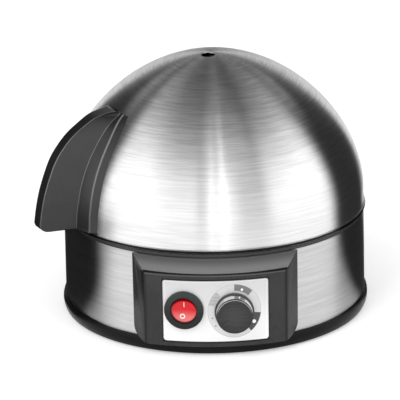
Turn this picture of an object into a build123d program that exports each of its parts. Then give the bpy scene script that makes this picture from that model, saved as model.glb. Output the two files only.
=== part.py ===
"""An electric egg cooker: a steel dome lid with a black grip stands on a round,
steel-banded base whose front panel holds a red rocker switch and a timer knob.

Millimetres, +Z up. The origin is on the axis of the round body, on the surface
that the feet stand on. The control panel faces -Y.
"""
import os
from math import asin, cos, degrees, radians, sin, sqrt, tan

from build123d import *

os.makedirs("parts", exist_ok=True)

# Clearances
lift_gap = 0.3
seat_fit = 0.05
slip_fit = 0.15
overlap = 1.0
turn_fit = 0.06

# Feet and the black bottom cover
foot_proud = 1.0
foot_radius = 7.0
foot_inset = 14.1
skirt_foot_step = 0.5
skirt_proud = 1.7
skirt_belly = 5.5
skirt_height = 8.0
skirt_wall = 3.0
skirt_lip = 0.9
floor_rise = 2.0
floor_wall = 2.0
vent_count = 14
vent_circle = 46.0
vent_length = 17.0
vent_width = 3.2

# Steel band round the base
band_top_radius = 91.6
band_flare = 0.5
band_wall = 0.5
band_tuck = 1.0
band_height = 52.0

# Black inner housing
housing_wall = 2.4
housing_gap = 0.3
ring_height = 2.0
ring_inset = 0.2
ring_round = 0.5
deck_wall = 2.4
deck_drop = 2.5
lip_wall = 2.4
lip_height = 2.5
lip_gap = 0.8
post_radius = 4.5
post_inset = 8.4
post_height = 30.0
post_angles = (25, 155, 205, 335)

# Steel dome lid
lid_inset = 0.2
lid_wall = 0.6
lid_straight = 11.9
dome_height = 84.2
dome_power_out = 1.879
dome_power_up = 1.812
bead_radius = 1.15
steam_hole_radius = 4.2
steam_hole_spot = (-1.8, -5.5)

# Black lid handle
handle_angle = 207.0
handle_lift = 2.9
handle_rise = 68.6
pad_angle = 15.2
pad_narrowing = 2.6
pad_straight_low = 20.0
pad_straight_high = 48.0
ridge_share = 0.82
pad_wall = 3.0
root_offset = 4.6
root_half = 10.4
foot_half = 7.2
edge_half = 4.5
fin_reach = 26.7
fin_corner = 4.5
fin_tip_rise = 3.1
fin_overrun = 1.3
tip_pad_wall = 2.0
tip_root_offset = 2.4
tip_root_half = 8.9
tip_edge_half = 5.2
tip_sharpness = 8
fin_steps = (
    (26.3, 7.4),
    (24.6, 17.7),
    (22.0, 27.7),
    (18.3, 37.7),
    (14.5, 45.7),
    (9.4, 52.7),
    (3.6, 58.7),
    (-3.4, 63.7),
    (-10.3, 67.7),
)

# Heating dish, its seal and the egg tray
dish_wall = 0.8
dish_rim_gap = 1.6
dish_rim_width = 16.0
dish_slope = 10.0
dish_depth = 20.5
dish_bend = 8.0
dish_lip_bend = 3.0
seal_wall = 1.0
seal_step = 1.4
seal_width = 6.0
tray_overhang = 5.0
tray_wall = 2.0
tray_rim_wall = 1.8
tray_rim_height = 4.0
egg_count = 7
egg_inset = 23.0
egg_hole_radius = 18.0
egg_collar_wall = 1.6
egg_collar_height = 1.6
rib_wall = 1.6
rib_height = 2.4
rib_inner = 20.0
rib_gap = 2.5
grip_foot_radius = 14.0
grip_neck_radius = 4.6
grip_head_radius = 11.0
grip_head = 9.0
grip_plinth = 1.0
grip_flare = 1.0
grip_shoulder = 3.0
grip_height = 56.0

# Heating element and what hangs below the dish
element_circle = 44.0
element_radius = 3.25
element_turn = 300.0
element_bend = 6.0
element_drop = 12.0
pin_radius = 1.2
pin_length = 7.0
stud_count = 3
stud_radius = 2.0
stud_circle = 33.0
stud_length = 16.0
strap_reach = 4.0
strap_length = 24.0
strap_width = 9.0
strap_wall = 1.2
nut_flats = 7.0
nut_height = 3.0
shield_radius = 58.0
shield_wall = 0.8
well_gap = 1.0
element_gap = 1.5
shield_rim = 3.2
thermostat_radius = 8.0
thermostat_height = 7.0
fuse_radius = 2.1
fuse_length = 13.0
fuse_circle = 21.0

# Control bezel on the front
bezel_face_radius = 115.0
bezel_proud = 3.4
bezel_half_angle = 31.5
bezel_cheek = 6.4
bezel_foot = 6.2
bezel_drop = 0.1
bezel_wall = 2.8
bezel_corner = 9.0
tuck_angle = 29.3
tuck_gap_angle = 0.3
scoop_proud = 0.6
scoop_mid_out = 1.4
scoop_mid_drop = 4.7
scoop_lip = 0.1
scoop_drop = 8.9
scoop_rise = 0.5
cavity_half = 36.0
cavity_low = 8.6
cavity_high = 47.5
window_half = 36.5
window_low = 10.0
window_high = 48.0

# Silver plate let into the bezel
plate_width = 61.4
plate_height = 37.6
plate_corner = 1.6
plate_wall = 0.6
plate_sunk = 0.2
panel_z = 28.3

# Rocker switch
switch_x = -18.4
switch_rise = 0.9
switch_flange_radius = 11.6
switch_flange = 2.2
switch_round = 0.7
switch_bore = 7.9
switch_bore_depth = 8.0
barrel_radius = 9.95
barrel_length = 20.0
rocker_radius = 7.65
rocker_pivot = 0.3
rocker_face = 1.4
rocker_angle = 18.0
rocker_back = 4.2
rocker_pin_radius = 1.2
rocker_pin_reach = 8.7
blade_width = 4.8
blade_wall = 0.8
blade_length = 8.0
blade_pitch = 6.0

# Timer knob and the control behind it
knob_x = 10.9
knob_gap = 0.3
knob_skirt_radius = 11.6
knob_skirt = 1.6
knob_core_radius = 9.25
knob_core = 5.6
knob_ring_foot_radius = 10.9
knob_ring_radius = 10.5
knob_ring_round = 0.4
knob_cap_radius = 10.6
knob_cap_wall = 1.1
knob_cap_round = 0.4
knob_recess_radius = 6.6
knob_recess = 2.6
knob_socket = 3.6
knob_nib_length = 6.0
knob_nib_width = 2.0
knob_nib_height = 0.5
knob_nib_angle = 222.0
shaft_radius = 3.0
shaft_flat = 0.8
shaft_seat = 3.5
bush_radius = 3.7
bush_reach = 6.5
bush_nut_flats = 10.0
bush_nut_height = 1.6
control_width = 17.0
control_height = 20.0
control_depth = 4.6

# Circuit board and its parts, placed by x and z
board_left = -3.0
board_right = 35.0
board_low = 10.0
board_high = 47.0
board_depth = 12.0
board_wall = 1.6
standoff_radius = 3.0
board_screw_radius = 1.2
board_screw_length = 5.5
board_screw_head_radius = 2.3
board_screw_head = 1.6
standoff_spots = ((31.0, 14.5), (31.0, 43.0), (0.5, 14.5))
relay_size = (15.0, 15.0, 15.0)
relay_spot = (21.0, 20.5)
buzzer_radius = 6.0
buzzer_height = 8.0
buzzer_spot = (6.5, 39.5)
capacitor_size = (13.0, 9.0, 6.5)
capacitor_spot = (20.0, 40.0)

# Screws that hold the bezel, the base and the handle
bezel_screw_angle = 26.6
bezel_screw_heights = (16.0, 43.0)
bezel_screw_radius = 1.3
bezel_screw_length = 5.4
bezel_screw_head_radius = 2.4
bezel_screw_head = 1.8
base_screw_radius = 1.7
base_screw_length = 14.0
base_screw_head_radius = 3.4
base_screw_head = 1.8
lid_screw_radius = 2.0
lid_screw_length = 9.0
lid_screw_head_radius = 3.8
lid_screw_head = 2.0
lid_washer_radius = 5.5
lid_washer_wall = 1.0
lid_washer_seat = 0.25
lid_screw_heights = (80.0, 106.0)

# Cord bush at the back
bush_z = 20.0
cord_bore = 3.5
cord_bush_radius = 6.0
cord_bush_flange_radius = 8.5
cord_bush_flange = 2.2
cord_bush_collar_radius = 7.4
cord_bush_collar = 2.0

# Levels and radii that follow from the sizes above
cover_under = foot_proud + floor_rise
cover_top = cover_under + floor_wall
skirt_top = foot_proud + skirt_height
band_bottom = skirt_top - band_tuck
band_top = band_bottom + band_height
bezel_top = band_top - bezel_drop
ring_top = band_top + ring_height
deck_top = ring_top - deck_drop
dish_top = deck_top + seal_wall + dish_wall
dish_floor = dish_top - dish_depth
dish_under = dish_floor - dish_wall
tray_top = dish_top + lift_gap + tray_rim_height
tray_under = tray_top - tray_wall
rim_bottom = ring_top + lift_gap
dome_start = rim_bottom + lid_straight
element_z = dish_under - element_radius
strap_top = element_z - element_radius
shield_top = strap_top - strap_wall - nut_height
band_bottom_radius = band_top_radius + band_flare
band_open_angle = tuck_angle + tuck_gap_angle
skirt_foot_radius = band_bottom_radius + skirt_foot_step
skirt_radius = band_bottom_radius + skirt_proud
foot_circle = band_bottom_radius - foot_inset
lid_radius = band_top_radius - lid_inset
housing_radius = band_top_radius - band_wall - housing_gap
housing_inner = housing_radius - housing_wall
ring_radius = band_top_radius - ring_inset
lip_radius = lid_radius - lid_wall - lip_gap
lip_inner = lip_radius - lip_wall
post_circle = housing_inner - post_inset
dish_rim_radius = lip_inner - dish_rim_gap
dish_mouth_radius = dish_rim_radius - dish_rim_width
dish_floor_radius = dish_mouth_radius - dish_slope
deck_bore = dish_mouth_radius + dish_wall + lift_gap
seal_inner = deck_bore + seal_step
seal_outer = seal_inner + seal_width
tray_radius = dish_mouth_radius + tray_overhang
egg_circle = tray_radius - egg_inset
rib_outer = dish_mouth_radius - rib_gap
bezel_inner = band_bottom_radius + slip_fit
bezel_front = band_bottom_radius + bezel_proud
bezel_side_half = bezel_inner * sin(radians(bezel_half_angle))
bezel_face_half = bezel_side_half - bezel_cheek
scoop_top_radius = band_bottom_radius + scoop_proud
scoop_mid = (band_bottom_radius + scoop_mid_out, bezel_top - scoop_mid_drop)
scoop_front = (bezel_front - scoop_lip, bezel_top - scoop_drop)
board_front = bezel_front - board_depth
control_front = bezel_front - control_depth
face_centre = bezel_face_radius - bezel_front
plate_radius = bezel_face_radius - plate_sunk
far = 140.0


def finish(builder, name):
    """Label a finished piece and write it."""
    builder.part.label = name
    export_step(builder.part, f"parts/{name}.step")


def on_circle(radius, angle):
    """A point at a radius and an angle in degrees."""
    return radius * cos(radians(angle)), radius * sin(radians(angle))


def dome_outline(wall):
    """The dome from its straight side to the axis, a superellipse a wall inside the outside."""
    radius = lid_radius - wall
    height = dome_height - wall
    points = []
    for turn in range(0, 90, 8):
        out = radius * cos(radians(turn)) ** (2 / dome_power_out)
        up = height * sin(radians(turn)) ** (2 / dome_power_up)
        points.append((out, dome_start + up))
    points.append((0, dome_start + height))
    Spline(points, tangents=[(0, 1), (-1, 0)])


def dome_radius(z):
    """Outer radius of the lid at a height."""
    if z <= dome_start:
        return lid_radius
    share = ((z - dome_start) / dome_height) ** (dome_power_up / 2)
    return lid_radius * cos(asin(share)) ** (2 / dome_power_out)


def dome_lean(z):
    """Angle in degrees that the lid's outward normal rises above the level, at a height."""
    step = 0.5
    run = dome_radius(z - step) - dome_radius(z + step)
    return degrees(asin(run / sqrt(run**2 + (2 * step) ** 2)))


def face_depth(x, radius):
    """How far in front of the axis an upright face of this radius stands at x."""
    return sqrt(radius**2 - x**2) - face_centre


def upright(angle):
    """An upright plane through the axis: local x runs outwards and local y upwards."""
    out = (*on_circle(1, angle), 0)
    side = (*on_circle(1, angle - 90), 0)
    return Plane(origin=(0, 0, 0), x_dir=out, z_dir=side)


def facing(angle, radius, z, lean=0.0):
    """A plane at a radius and height that faces outwards, leaning up by some degrees."""
    level = cos(radians(lean))
    out = (*on_circle(level, angle), sin(radians(lean)))
    side = (*on_circle(1, angle + 90), 0)
    return Plane(origin=(*on_circle(radius, angle), z), x_dir=side, z_dir=out)


def pan_screw(plane, radius, length, head_radius, head):
    """A slotted screw: the shank runs along the plane's normal and the head lies behind."""
    with BuildPart(mode=Mode.PRIVATE) as screw:
        with BuildSketch(plane):
            Circle(radius)
        extrude(amount=length)
        with BuildSketch(plane):
            Circle(head_radius)
        extrude(amount=-head)
        with BuildSketch(plane.offset(-head)):
            SlotOverall(1.5 * head_radius, 0.3 * head_radius)
        extrude(amount=0.4 * head, mode=Mode.SUBTRACT)
    return screw.part


def lid_screw_plane(z, inset):
    """A plane inside the lid at a handle screw, a distance inwards from the outer skin."""
    plane = facing(handle_angle, dome_radius(z), z, dome_lean(z))
    return plane.offset(-inset)


# Planes of the controls
knob_depth = bezel_front + knob_gap
knob_plane = Plane(origin=(knob_x, -knob_depth, panel_z), x_dir=(1, 0, 0), z_dir=(0, -1, 0))
switch_lean = degrees(asin(switch_x / bezel_face_radius))
switch_out = (sin(radians(switch_lean)), -cos(radians(switch_lean)), 0)
switch_side = (cos(radians(switch_lean)), sin(radians(switch_lean)), 0)
switch_front = (
    plate_radius * switch_out[0],
    plate_radius * switch_out[1] + face_centre,
    panel_z + switch_rise,
)
switch_plane = Plane(origin=switch_front, x_dir=switch_side, z_dir=switch_out)


def face_slab(inner, outer, left, right, low, high, corner=0.0):
    """A piece of the bowed front between two radii, cut out by a box in the front view."""
    with BuildPart(mode=Mode.PRIVATE) as slab:
        with BuildSketch(Plane.XZ):
            with Locations(((left + right) / 2, (low + high) / 2)):
                if corner:
                    RectangleRounded(right - left, high - low, corner)
                else:
                    Rectangle(right - left, high - low)
        extrude(amount=far)
        with BuildSketch():
            with Locations((0, face_centre)):
                Circle(outer)
                Circle(inner, mode=Mode.SUBTRACT)
        extrude(amount=far, mode=Mode.INTERSECT)
    return slab.part


def plate_slab(inner, outer, grow=0.0):
    """The silver plate's shape between two radii, or the recess for it."""
    half = plate_width / 2 + grow
    low = panel_z - plate_height / 2 - grow
    high = panel_z + plate_height / 2 + grow
    return face_slab(inner, outer, -half, half, low, high, plate_corner)


# Room for the bezel in the skirt
seat_radius = housing_radius + seat_fit
with BuildPart(mode=Mode.PRIVATE) as bezel_opening:
    with BuildSketch(Plane.XZ):
        with Locations((0, bezel_foot - seat_fit)):
            opening_width = 2 * (bezel_side_half + slip_fit)
            Rectangle(opening_width, far, align=(Align.CENTER, Align.MIN))
        fillet(vertices().group_by(Axis.Y)[0], bezel_corner)
    extrude(amount=far)
    with BuildSketch():
        Circle(seat_radius)
    extrude(amount=far, mode=Mode.SUBTRACT)

# Bottom cover: skirt, floor, vents and screw holes
with BuildPart() as bottom_cover:
    skirt_inner = skirt_foot_radius - skirt_wall
    skirt_lip_radius = bezel_inner + skirt_lip
    with BuildSketch(Plane.XZ):
        with BuildLine():
            Line((skirt_inner, foot_proud), (skirt_foot_radius, foot_proud))
            ThreePointArc(
                (skirt_foot_radius, foot_proud),
                (skirt_radius, foot_proud + skirt_belly),
                (skirt_lip_radius, skirt_top),
            )
            Polyline(
                (skirt_lip_radius, skirt_top),
                (bezel_inner, skirt_top),
                (bezel_inner, band_bottom),
                (seat_radius, band_bottom),
                (seat_radius, cover_top),
                (0, cover_top),
                (0, cover_under),
                (skirt_inner, cover_under),
                (skirt_inner, foot_proud),
            )
        make_face()
    revolve(axis=Axis.Z)
    with BuildSketch(Plane.XY.offset(cover_under)):
        with PolarLocations(vent_circle, vent_count):
            SlotOverall(vent_length, vent_width)
        for angle in post_angles:
            with Locations(on_circle(post_circle, angle)):
                Circle(base_screw_radius + slip_fit)
    extrude(amount=floor_wall, mode=Mode.SUBTRACT)
    add(bezel_opening.part, mode=Mode.SUBTRACT)
finish(bottom_cover, "bottom_cover")

# Rubber feet
with BuildPart() as feet:
    with BuildSketch(Plane.XY.offset(cover_under)):
        with PolarLocations(foot_circle, 4, start_angle=45):
            Circle(foot_radius)
    extrude(amount=-cover_under, taper=6)
finish(feet, "feet")

# Steel band, open at the front behind the bezel
with BuildPart() as steel_band:
    with BuildSketch(Plane.XZ):
        Polygon(
            (band_bottom_radius - band_wall, band_bottom),
            (band_bottom_radius, band_bottom),
            (band_top_radius, band_top),
            (band_top_radius - band_wall, band_top),
            align=None,
        )
    revolve(axis=Axis.Z)
    with BuildSketch(Plane.XY.offset(band_bottom)):
        half = far * tan(radians(band_open_angle))
        Polygon((0, 0), (half, -far), (-half, -far), align=None)
    extrude(amount=band_height, mode=Mode.SUBTRACT)
    with BuildSketch(facing(90, 0, bush_z)):
        Circle(cord_bush_radius + slip_fit)
    extrude(amount=far, mode=Mode.SUBTRACT)
finish(steel_band, "steel_band")

# Inner housing: wall, top ring, lid lip, deck and screw posts
with BuildPart() as base_housing:
    with BuildSketch(Plane.XZ):
        Polygon(
            (housing_inner, cover_top),
            (housing_radius, cover_top),
            (housing_radius, band_top),
            (ring_radius, band_top),
            (ring_radius, ring_top),
            (lip_radius, ring_top),
            (lip_radius, ring_top + lip_height),
            (lip_inner, ring_top + lip_height),
            (lip_inner, deck_top),
            (deck_bore, deck_top),
            (deck_bore, deck_top - deck_wall),
            (housing_inner, deck_top - deck_wall),
            align=None,
        )
    revolve(axis=Axis.Z)
    rings = edges().filter_by(GeomType.CIRCLE)
    outer_rings = rings.filter_by(lambda edge: abs(edge.radius - ring_radius) < seat_fit)
    fillet(outer_rings.sort_by(Axis.Z)[-1], ring_round)
    for angle in post_angles:
        with BuildSketch(Plane.XY.offset(cover_top).rotated((0, 0, angle))):
            with Locations(((post_circle + housing_inner + overlap) / 2, 0)):
                Rectangle(housing_inner + overlap - post_circle, housing_wall)
            with Locations((post_circle, 0)):
                Circle(post_radius)
                Circle(base_screw_radius + seat_fit, mode=Mode.SUBTRACT)
        extrude(amount=post_height)
    with BuildSketch(Plane.XZ):
        with Locations((0, (window_low + window_high) / 2)):
            Rectangle(2 * window_half, window_high - window_low)
    extrude(amount=far, mode=Mode.SUBTRACT)
    for side in (-1, 1):
        for z in bezel_screw_heights:
            with BuildSketch(facing(270 + side * bezel_screw_angle, 0, z)):
                Circle(bezel_screw_radius + slip_fit)
            extrude(amount=far, mode=Mode.SUBTRACT)
    with BuildSketch(facing(90, 0, bush_z)):
        Circle(cord_bush_radius + seat_fit)
    extrude(amount=far, mode=Mode.SUBTRACT)
finish(base_housing, "base_housing")

# Control bezel: bowed face, scooped top, recess, cavity, standoffs and screw holes
plate_recess = plate_slab(plate_radius - plate_wall - seat_fit, far, seat_fit)
bezel_cavity = face_slab(
    bezel_inner,
    bezel_face_radius - bezel_wall,
    -cavity_half,
    cavity_half,
    cavity_low,
    cavity_high,
)
with BuildPart(mode=Mode.PRIVATE) as standoffs:
    with BuildSketch(Plane.XZ.offset(board_front)):
        with Locations(*standoff_spots):
            Circle(standoff_radius)
    extrude(amount=far - board_front)
    with BuildSketch():
        with Locations((0, face_centre)):
            Circle(bezel_face_radius - bezel_wall + overlap)
    extrude(amount=far, mode=Mode.INTERSECT)

with BuildPart() as control_bezel:
    side_y = -sqrt(bezel_inner**2 - bezel_side_half**2)
    edge_y = -face_depth(bezel_face_half, bezel_face_radius)
    tuck_half = far * tan(radians(tuck_angle))
    with BuildSketch(Plane.XY.offset(bezel_foot)):
        with BuildLine():
            Line((0, 0), (bezel_side_half, side_y))
            Line((bezel_side_half, side_y), (bezel_face_half, edge_y))
            ThreePointArc((bezel_face_half, edge_y), (0, -bezel_front), (-bezel_face_half, edge_y))
            Line((-bezel_face_half, edge_y), (-bezel_side_half, side_y))
            Line((-bezel_side_half, side_y), (0, 0))
        make_face()
        Circle(bezel_inner, mode=Mode.SUBTRACT)
    extrude(amount=bezel_top - bezel_foot)
    with BuildSketch(Plane.XY.offset(bezel_foot)):
        Circle(bezel_inner + slip_fit)
        Circle(housing_radius + slip_fit, mode=Mode.SUBTRACT)
        Polygon((0, 0), (tuck_half, -far), (-tuck_half, -far), align=None, mode=Mode.INTERSECT)
    extrude(amount=bezel_top - bezel_foot)
    with BuildSketch(Plane.XZ):
        with Locations((0, bezel_foot)):
            Rectangle(2 * bezel_side_half, bezel_top, align=(Align.CENTER, Align.MIN))
        fillet(vertices().group_by(Axis.Y)[0], bezel_corner)
    extrude(amount=far, mode=Mode.INTERSECT)
    with BuildSketch(Plane.XZ):
        with BuildLine():
            ThreePointArc((scoop_top_radius, bezel_top), scoop_mid, scoop_front)
            Polyline(
                scoop_front,
                (far, scoop_front[1] + scoop_rise),
                (far, far),
                (scoop_top_radius, far),
                (scoop_top_radius, bezel_top),
            )
        make_face()
    revolve(axis=Axis.Z, mode=Mode.SUBTRACT)
    add(plate_recess, mode=Mode.SUBTRACT)
    add(bezel_cavity, mode=Mode.SUBTRACT)
    add(standoffs.part)
    with BuildSketch(Plane.XZ.offset(board_front)):
        with Locations(*standoff_spots):
            Circle(board_screw_radius + seat_fit)
    extrude(amount=board_screw_length - board_wall + slip_fit, mode=Mode.SUBTRACT)
    with BuildSketch(switch_plane):
        Circle(barrel_radius + slip_fit)
    extrude(amount=-barrel_length, mode=Mode.SUBTRACT)
    with BuildSketch(knob_plane):
        Circle(bush_radius + slip_fit)
    extrude(amount=-barrel_length, mode=Mode.SUBTRACT)
    for side in (-1, 1):
        for z in bezel_screw_heights:
            with BuildSketch(facing(270 + side * bezel_screw_angle, housing_inner, z)):
                Circle(bezel_screw_radius + seat_fit)
            extrude(amount=bezel_screw_length, mode=Mode.SUBTRACT)
finish(control_bezel, "control_bezel")

# Screws that hold the bezel from inside the housing
with BuildPart() as bezel_screws:
    for side in (-1, 1):
        for z in bezel_screw_heights:
            plane = facing(270 + side * bezel_screw_angle, housing_inner - seat_fit, z)
            sizes = (bezel_screw_length, bezel_screw_head_radius, bezel_screw_head)
            add(pan_screw(plane, bezel_screw_radius, *sizes))
finish(bezel_screws, "bezel_screws")

# Silver control plate
with BuildPart() as panel_plate:
    add(plate_slab(plate_radius - plate_wall, plate_radius))
    with BuildSketch(switch_plane.offset(1)):
        Circle(barrel_radius + slip_fit)
    extrude(amount=-barrel_length, mode=Mode.SUBTRACT)
    with BuildSketch(knob_plane):
        Circle(bush_radius + slip_fit)
    extrude(amount=-barrel_length, mode=Mode.SUBTRACT)
finish(panel_plate, "panel_plate")

# Switch body with its round flange
rocker_centre = switch_plane.offset(rocker_pivot).origin
with BuildPart() as switch_body:
    with BuildSketch(switch_plane):
        Circle(switch_flange_radius)
    extrude(amount=switch_flange)
    fillet(faces().sort_by(Axis.Y)[0].edges(), switch_round)
    with BuildSketch(switch_plane):
        Circle(barrel_radius)
    extrude(amount=-barrel_length)
    with BuildSketch(switch_plane.offset(switch_flange)):
        Circle(switch_bore)
    extrude(amount=-switch_bore_depth, mode=Mode.SUBTRACT)
    with BuildSketch(Plane(origin=rocker_centre, x_dir=switch_out, z_dir=switch_side)):
        Circle(rocker_pin_radius + turn_fit)
    extrude(amount=rocker_pin_reach + turn_fit, both=True, mode=Mode.SUBTRACT)
finish(switch_body, "switch_body")

# Switch terminals
with BuildPart() as switch_terminals:
    with BuildSketch(switch_plane.offset(-barrel_length)):
        with GridLocations(0, blade_pitch, 1, 3):
            Rectangle(blade_width, blade_wall)
    extrude(amount=-blade_length)
finish(switch_terminals, "switch_terminals")

# Red rocker, drawn in its off position with the lower half pressed in
with BuildPart() as switch_rocker:
    tilt = rocker_angle / 2
    rocker_up = (
        sin(radians(tilt)) * switch_out[0],
        sin(radians(tilt)) * switch_out[1],
        cos(radians(tilt)),
    )
    half = rocker_radius + overlap
    rise = rocker_face + half * tan(radians(tilt))
    with BuildSketch(Plane(origin=rocker_centre, x_dir=rocker_up, z_dir=switch_side)):
        Polygon(
            (-half, -rocker_back),
            (half, -rocker_back),
            (half, rise),
            (0, rocker_face),
            (-half, rise),
            align=None,
        )
    extrude(amount=half, both=True)
    with Locations(rocker_centre):
        Sphere(rocker_radius, mode=Mode.INTERSECT)
    with BuildSketch(Plane(origin=rocker_centre, x_dir=switch_out, z_dir=switch_side)):
        Circle(rocker_pin_radius)
    extrude(amount=rocker_pin_reach, both=True)
finish(switch_rocker, "switch_rocker")

# Timer knob, its bright ring and its cap
with BuildPart() as timer_knob:
    with BuildSketch(knob_plane):
        Circle(knob_skirt_radius)
    extrude(amount=knob_skirt)
    with BuildSketch(knob_plane.offset(knob_skirt)):
        Circle(knob_core_radius)
    extrude(amount=knob_core)
    with BuildSketch(knob_plane):
        Circle(knob_recess_radius)
    extrude(amount=knob_recess, mode=Mode.SUBTRACT)
    with BuildSketch(knob_plane.offset(knob_recess)):
        Circle(shaft_radius + seat_fit)
        with Locations((0, shaft_radius - shaft_flat + seat_fit)):
            Rectangle(far, far, align=(Align.CENTER, Align.MIN), mode=Mode.SUBTRACT)
    extrude(amount=knob_socket, mode=Mode.SUBTRACT)
finish(timer_knob, "timer_knob")

with BuildPart() as knob_ring:
    with Locations(knob_plane.offset(knob_skirt)):
        Cone(
            knob_ring_foot_radius,
            knob_ring_radius,
            knob_core,
            align=(Align.CENTER, Align.CENTER, Align.MIN),
        )
    with BuildSketch(knob_plane.offset(knob_skirt)):
        Circle(knob_core_radius + seat_fit)
    extrude(amount=knob_core, mode=Mode.SUBTRACT)
    outer_face = faces().filter_by(GeomType.CONE)
    fillet(outer_face.edges().filter_by(GeomType.CIRCLE), knob_ring_round)
finish(knob_ring, "knob_ring")

with BuildPart() as knob_cap:
    cap_plane = knob_plane.offset(knob_skirt + knob_core)
    with BuildSketch(cap_plane):
        Circle(knob_cap_radius)
    extrude(amount=knob_cap_wall)
    fillet(faces().sort_by(Axis.Y)[0].edges(), knob_cap_round)
    nib_reach = knob_cap_radius - knob_nib_length / 2 - knob_cap_round
    with BuildSketch(cap_plane.offset(knob_cap_wall)):
        with PolarLocations(nib_reach, 1, start_angle=knob_nib_angle):
            SlotOverall(knob_nib_length, knob_nib_width)
    extrude(amount=knob_nib_height)
finish(knob_cap, "knob_cap")

# Timer control behind the panel, with its nut and shaft
with BuildPart() as control_pot:
    with BuildSketch(Plane.XZ.offset(board_front)):
        with Locations((knob_x, panel_z)):
            Rectangle(control_width, control_height)
    extrude(amount=control_front - board_front)
    with BuildSketch(Plane.XZ.offset(control_front)):
        with Locations((knob_x, panel_z)):
            Circle(bush_radius)
    extrude(amount=bush_reach)
    with BuildSketch(Plane.XZ.offset(control_front - shaft_seat)):
        with Locations((knob_x, panel_z)):
            Circle(shaft_radius + turn_fit)
    extrude(amount=far, mode=Mode.SUBTRACT)
finish(control_pot, "control_pot")

nut_seat = face_depth(knob_x - bush_nut_flats / 2, plate_radius) + seat_fit
with BuildPart() as pot_nut:
    with BuildSketch(Plane.XZ.offset(nut_seat)):
        with Locations((knob_x, panel_z)):
            RegularPolygon(bush_nut_flats / 2, 6, major_radius=False)
            Circle(bush_radius + seat_fit, mode=Mode.SUBTRACT)
    extrude(amount=bush_nut_height)
finish(pot_nut, "pot_nut")

with BuildPart() as pot_shaft:
    shaft_back = control_front - shaft_seat + turn_fit
    shaft_front = knob_depth + knob_recess + knob_socket - turn_fit
    with BuildSketch(Plane.XZ.offset(shaft_back)):
        with Locations((knob_x, panel_z)):
            Circle(shaft_radius)
    extrude(amount=shaft_front - shaft_back)
    with BuildSketch(knob_plane.offset(knob_recess - slip_fit)):
        with Locations((0, shaft_radius - shaft_flat)):
            Rectangle(far, far, align=(Align.CENTER, Align.MIN))
    extrude(amount=far, mode=Mode.SUBTRACT)
finish(pot_shaft, "pot_shaft")

# Circuit board with its relay, buzzer, capacitor and screws
board_back = board_front - board_wall
with BuildPart() as circuit_board:
    with BuildSketch(Plane.XZ.offset(board_back)):
        with Locations(((board_left + board_right) / 2, (board_low + board_high) / 2)):
            Rectangle(board_right - board_left, board_high - board_low)
        with Locations(*standoff_spots):
            Circle(board_screw_radius + slip_fit, mode=Mode.SUBTRACT)
    extrude(amount=board_wall - seat_fit)
finish(circuit_board, "circuit_board")

with BuildPart() as power_relay:
    with BuildSketch(Plane.XZ.offset(board_back)):
        with Locations(relay_spot):
            Rectangle(relay_size[0], relay_size[1])
    extrude(amount=-relay_size[2])
finish(power_relay, "power_relay")

with BuildPart() as buzzer:
    with BuildSketch(Plane.XZ.offset(board_back)):
        with Locations(buzzer_spot):
            Circle(buzzer_radius)
    extrude(amount=-buzzer_height)
    with BuildSketch(Plane.XZ.offset(board_back - buzzer_height)):
        with Locations(buzzer_spot):
            Circle(buzzer_radius / 6)
    extrude(amount=buzzer_height / 3, mode=Mode.SUBTRACT)
finish(buzzer, "buzzer")

with BuildPart() as board_capacitor:
    with BuildSketch(Plane.XZ.offset(board_back)):
        with Locations(capacitor_spot):
            Rectangle(capacitor_size[0], capacitor_size[1])
    extrude(amount=-capacitor_size[2])
finish(board_capacitor, "board_capacitor")

with BuildPart() as board_screws:
    for x, z in standoff_spots:
        plane = Plane(origin=(x, -board_back, z), x_dir=(1, 0, 0), z_dir=(0, -1, 0))
        sizes = (board_screw_length, board_screw_head_radius, board_screw_head)
        add(pan_screw(plane, board_screw_radius, *sizes))
finish(board_screws, "board_screws")

# Seal and heating dish on the deck
with BuildPart() as dish_seal:
    with BuildSketch(Plane.XY.offset(deck_top)):
        Circle(seal_outer)
        Circle(seal_inner, mode=Mode.SUBTRACT)
    extrude(amount=seal_wall)
finish(dish_seal, "dish_seal")

with BuildPart() as heating_dish:
    with BuildSketch(Plane.XZ):
        with BuildLine() as dish_line:
            FilletPolyline(
                (0, dish_floor),
                (dish_floor_radius, dish_floor),
                (dish_mouth_radius, dish_top),
                (dish_rim_radius, dish_top),
                radius=(dish_bend, dish_lip_bend),
            )
            offset(amount=dish_wall, side=Side.RIGHT)
        make_face()
    revolve(axis=Axis.Z)
finish(heating_dish, "heating_dish")

# Heating element, studs, straps and nuts
with BuildPart() as heating_element:
    first = 90 + (360 - element_turn) / 2
    with BuildLine() as element_path:
        start = (*on_circle(element_circle, first), element_z)
        middle = (*on_circle(element_circle, 270), element_z)
        end = (*on_circle(element_circle, 180 - first), element_z)
        ThreePointArc(start, middle, end)
        for point, way in ((start, first - 90), (end, 270 - first)):
            step = on_circle(element_bend, way)
            part = sin(radians(45))
            bow = (
                point[0] + step[0] * part,
                point[1] + step[1] * part,
                element_z - element_bend * (1 - part),
            )
            down = (point[0] + step[0], point[1] + step[1], element_z - element_bend)
            ThreePointArc(point, bow, down)
            Line(down, (down[0], down[1], down[2] - element_drop))
    tips = [tuple(vertex) for vertex in element_path.vertices().sort_by(Axis.Z)[:2]]
    with BuildSketch(Plane(origin=tips[0], z_dir=(0, 0, 1))):
        Circle(element_radius)
    sweep()
    for tip in tips:
        with BuildSketch(Plane(origin=tip, z_dir=(0, 0, -1))):
            Circle(pin_radius)
        extrude(amount=pin_length)
finish(heating_element, "heating_element")

stud_angles = [270 + 360 / stud_count * index for index in range(stud_count)]
with BuildPart() as element_studs:
    with BuildSketch(Plane.XY.offset(dish_under)):
        with Locations(*[on_circle(stud_circle, angle) for angle in stud_angles]):
            Circle(stud_radius)
    extrude(amount=-stud_length)
finish(element_studs, "element_studs")

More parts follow.
